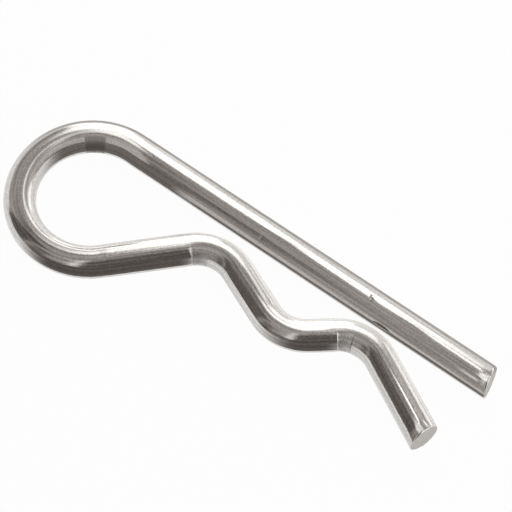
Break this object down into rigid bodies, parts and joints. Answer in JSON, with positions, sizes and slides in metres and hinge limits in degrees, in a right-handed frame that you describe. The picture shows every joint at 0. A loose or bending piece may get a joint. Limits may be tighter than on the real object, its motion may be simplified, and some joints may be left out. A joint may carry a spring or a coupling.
{
  "type": "hitch r clip pin",
  "caption": "Flat spring clip of round wire: straight leg, open eye and waved leg that snaps over a cross-drilled shaft.",
  "frame": {"origin": "on the straight leg's axis, where the axis of the held shaft crosses it", "axes": "+X along the straight leg towards its tip, the waved leg on the -Y side, +Z square to the flat of the clip"},
  "size_m": [0.0792, 0.0265, 0.005],
  "materials": {
    "wire": "bright drawn stainless spring wire"
  },
  "bodies": {
    "root": {"spring_clip": "wire"}
  },
  "joints": []
}
